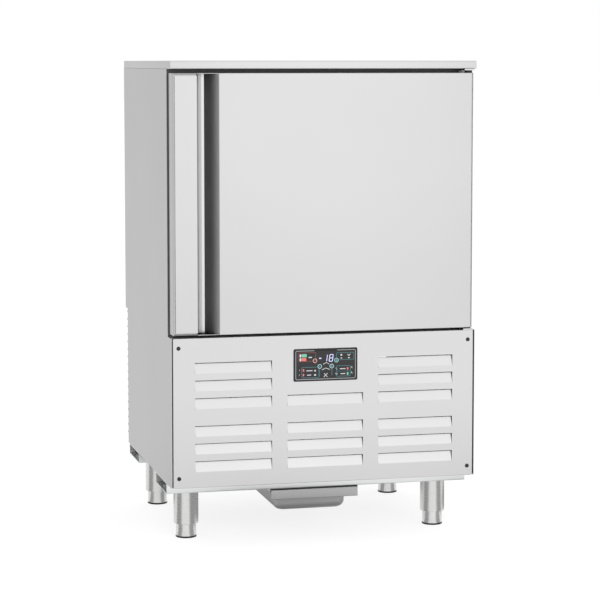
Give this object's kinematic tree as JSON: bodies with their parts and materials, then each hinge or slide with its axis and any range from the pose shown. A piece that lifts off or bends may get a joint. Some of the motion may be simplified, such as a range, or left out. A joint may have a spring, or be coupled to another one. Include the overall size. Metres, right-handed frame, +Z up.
{
  "type": "blast chiller",
  "caption": "Reach-in blast chiller: insulated cabinet with a side-hinged door and tray runners over a louvred machine compartment, on levelling legs with a pull-out drip tray.",
  "frame": {"origin": "centre of the bounding box at floor level", "axes": "+X to the right seen from the front, +Y from the door to the back, +Z up"},
  "size_m": [0.79, 0.72, 1.22],
  "materials": {
    "stainless_front": "satin brushed",
    "stainless_side": "satin brushed",
    "stainless_inner": "satin",
    "frame_plastic": "satin",
    "foam": "rigid foam",
    "gasket": "soft matt",
    "black_plastic": "moulded",
    "control_glass": "gloss",
    "button": "gloss",
    "circuit_board": "lacquered",
    "fins": "bare fins",
    "copper": "drawn copper",
    "black_paint": "semi-gloss paint",
    "zinc_sheet": "zinc-coated",
    "grey_metal": "painted",
    "white_plastic": "moulded",
    "leg_steel": "satin turned",
    "drip_steel": "satin",
    "screw_steel": "dark bright"
  },
  "bodies": {
    "cabinet": {"left_side_panel": "stainless_side", "right_side_panel": "stainless_side", "top_cover": "stainless_front", "back_panel": "stainless_side", "cabinet_floor_skin": "zinc_sheet", "front_frame": "frame_plastic", "inner_liner": "stainless_inner", "side_insulation": "foam", "top_insulation": "foam", "bottom_insulation": "foam", "back_insulation": "foam", "rack_posts": "stainless_inner", "tray_runners": "stainless_inner", "evaporator_coil": "fins", "fan_panel": "stainless_inner", "fan_guards": "stainless_inner", "fan_motors": "black_paint", "core_probe": "black_plastic", "probe_holder": "frame_plastic", "drain_pipe": "white_plastic", "hinge_brackets": "stainless_inner", "lower_front_panel": "stainless_front", "panel_screws": "screw_steel", "control_frame": "black_plastic", "control_window": "control_glass", "control_board": "circuit_board", "rear_grille": "stainless_side", "front_cross_member": "zinc_sheet", "rear_cross_member": "zinc_sheet", "base_plate": "zinc_sheet", "leg_tubes": "leg_steel", "drip_tray_rails": "zinc_sheet", "compressor": "black_paint", "compressor_grommets": "gasket", "condenser_coil": "fins", "condenser_shroud": "zinc_sheet", "condenser_motor": "black_paint", "liquid_receiver": "black_paint", "filter_drier": "copper", "refrigerant_pipes": "copper", "electrical_box": "grey_metal", "cable_gland": "black_plastic"},
    "door": {"door_skin": "stainless_front", "door_handle": "stainless_front", "door_foam": "foam", "door_inner_panel": "stainless_inner", "door_gasket": "gasket", "hinge_bushes": "black_plastic"},
    "chamber_fan_upper": {"chamber_fan_upper": "black_plastic"},
    "chamber_fan_lower": {"chamber_fan_lower": "black_plastic"},
    "condenser_fan": {"condenser_fan": "grey_metal"},
    "button_1": {"button_1": "button"},
    "button_2": {"button_2": "button"},
    "button_3": {"button_3": "button"},
    "button_4": {"button_4": "button"},
    "drip_tray": {"drip_tray": "drip_steel"},
    "foot_front_left": {"foot_front_left": "leg_steel"},
    "foot_front_right": {"foot_front_right": "leg_steel"},
    "foot_rear_left": {"foot_rear_left": "leg_steel"},
    "foot_rear_right": {"foot_rear_right": "leg_steel"}
  },
  "joints": [
    {"name": "door_swing", "type": "hinge", "parent": "cabinet", "child": "door", "pos_m": [0.376, -0.344, 0.865], "axis": [0, 0, 1], "range_deg": [0, 110]},
    {"name": "chamber_fan_upper_spin", "type": "hinge", "parent": "cabinet", "child": "chamber_fan_upper", "pos_m": [0, 0.166, 1.00325], "axis": [0, 1, 0], "continuous": true},
    {"name": "chamber_fan_lower_spin", "type": "hinge", "parent": "cabinet", "child": "chamber_fan_lower", "pos_m": [0, 0.166, 0.72975], "axis": [0, 1, 0], "continuous": true},
    {"name": "condenser_fan_spin", "type": "hinge", "parent": "cabinet", "child": "condenser_fan", "pos_m": [-0.1998, -0.22, 0.326], "axis": [0, 1, 0], "continuous": true},
    {"name": "button_1_press", "type": "slide", "parent": "cabinet", "child": "button_1", "axis": [0, 1, 0], "range_m": [0, 0.0008], "stiffness_N_per_m": 500},
    {"name": "button_2_press", "type": "slide", "parent": "cabinet", "child": "button_2", "axis": [0, 1, 0], "range_m": [0, 0.0008], "stiffness_N_per_m": 500},
    {"name": "button_3_press", "type": "slide", "parent": "cabinet", "child": "button_3", "axis": [0, 1, 0], "range_m": [0, 0.0008], "stiffness_N_per_m": 500},
    {"name": "button_4_press", "type": "slide", "parent": "cabinet", "child": "button_4", "axis": [0, 1, 0], "range_m": [0, 0.0008], "stiffness_N_per_m": 500},
    {"name": "drip_tray_slide", "type": "slide", "parent": "cabinet", "child": "drip_tray", "axis": [0, -1, 0], "range_m": [0, 0.25]},
    {"name": "foot_front_left_level", "type": "slide", "parent": "cabinet", "child": "foot_front_left", "axis": [0, 0, -1], "range_m": [0, 0.03]},
    {"name": "foot_front_right_level", "type": "slide", "parent": "cabinet", "child": "foot_front_right", "axis": [0, 0, -1], "range_m": [0, 0.03]},
    {"name": "foot_rear_left_level", "type": "slide", "parent": "cabinet", "child": "foot_rear_left", "axis": [0, 0, -1], "range_m": [0, 0.03]},
    {"name": "foot_rear_right_level", "type": "slide", "parent": "cabinet", "child": "foot_rear_right", "axis": [0, 0, -1], "range_m": [0, 0.03]}
  ]
}
